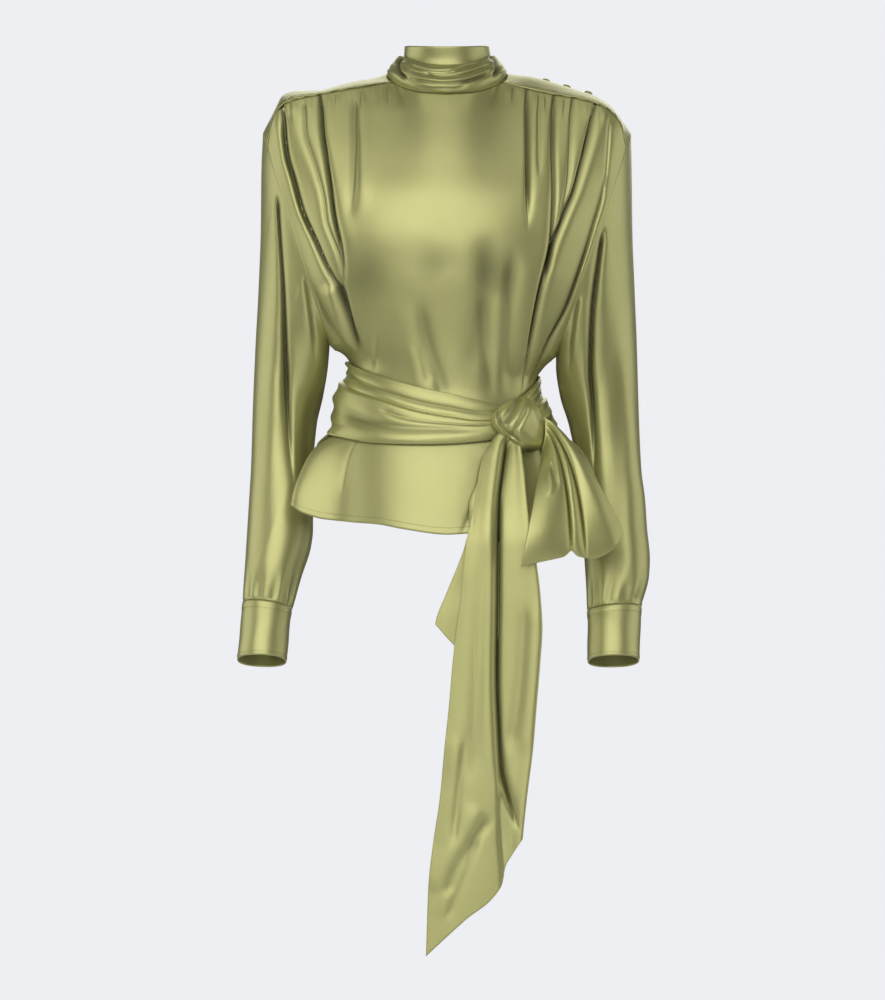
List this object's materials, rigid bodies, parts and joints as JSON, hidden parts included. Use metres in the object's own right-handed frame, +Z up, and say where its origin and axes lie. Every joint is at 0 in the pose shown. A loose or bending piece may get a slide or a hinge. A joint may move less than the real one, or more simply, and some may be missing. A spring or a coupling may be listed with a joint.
{
  "type": "belted top",
  "caption": "Long-sleeved satin top with a draped stand collar, gathered shoulder yokes, cuffs, a short peplum and a wide sash tied at the side.",
  "frame": {"origin": "at the base of the neck, midway between the shoulders, where the wearer's shoulders carry the garment", "axes": "+Z up, along the wearer's body; -Y to the front; +X to the wearer's left"},
  "size_m": [0.4938, 0.2754, 1.085],
  "materials": {
    "bodice_satin": "satin",
    "sash_satin": "satin",
    "button_satin": "satin"
  },
  "bodies": {
    "root": {"back": "bodice_satin", "belt": "sash_satin", "button_1": "button_satin", "button_2": "button_satin", "button_3": "button_satin", "collar_drape": "bodice_satin", "collar_stand": "bodice_satin", "cuff_left": "bodice_satin", "cuff_right": "bodice_satin", "front": "bodice_satin", "knot": "sash_satin", "loop": "sash_satin", "peplum_back": "bodice_satin", "peplum_front": "bodice_satin", "sleeve_left": "bodice_satin", "sleeve_right": "bodice_satin", "tail_long": "sash_satin", "tail_short": "sash_satin", "yoke_left": "bodice_satin", "yoke_right": "bodice_satin"}
  },
  "joints": []
}
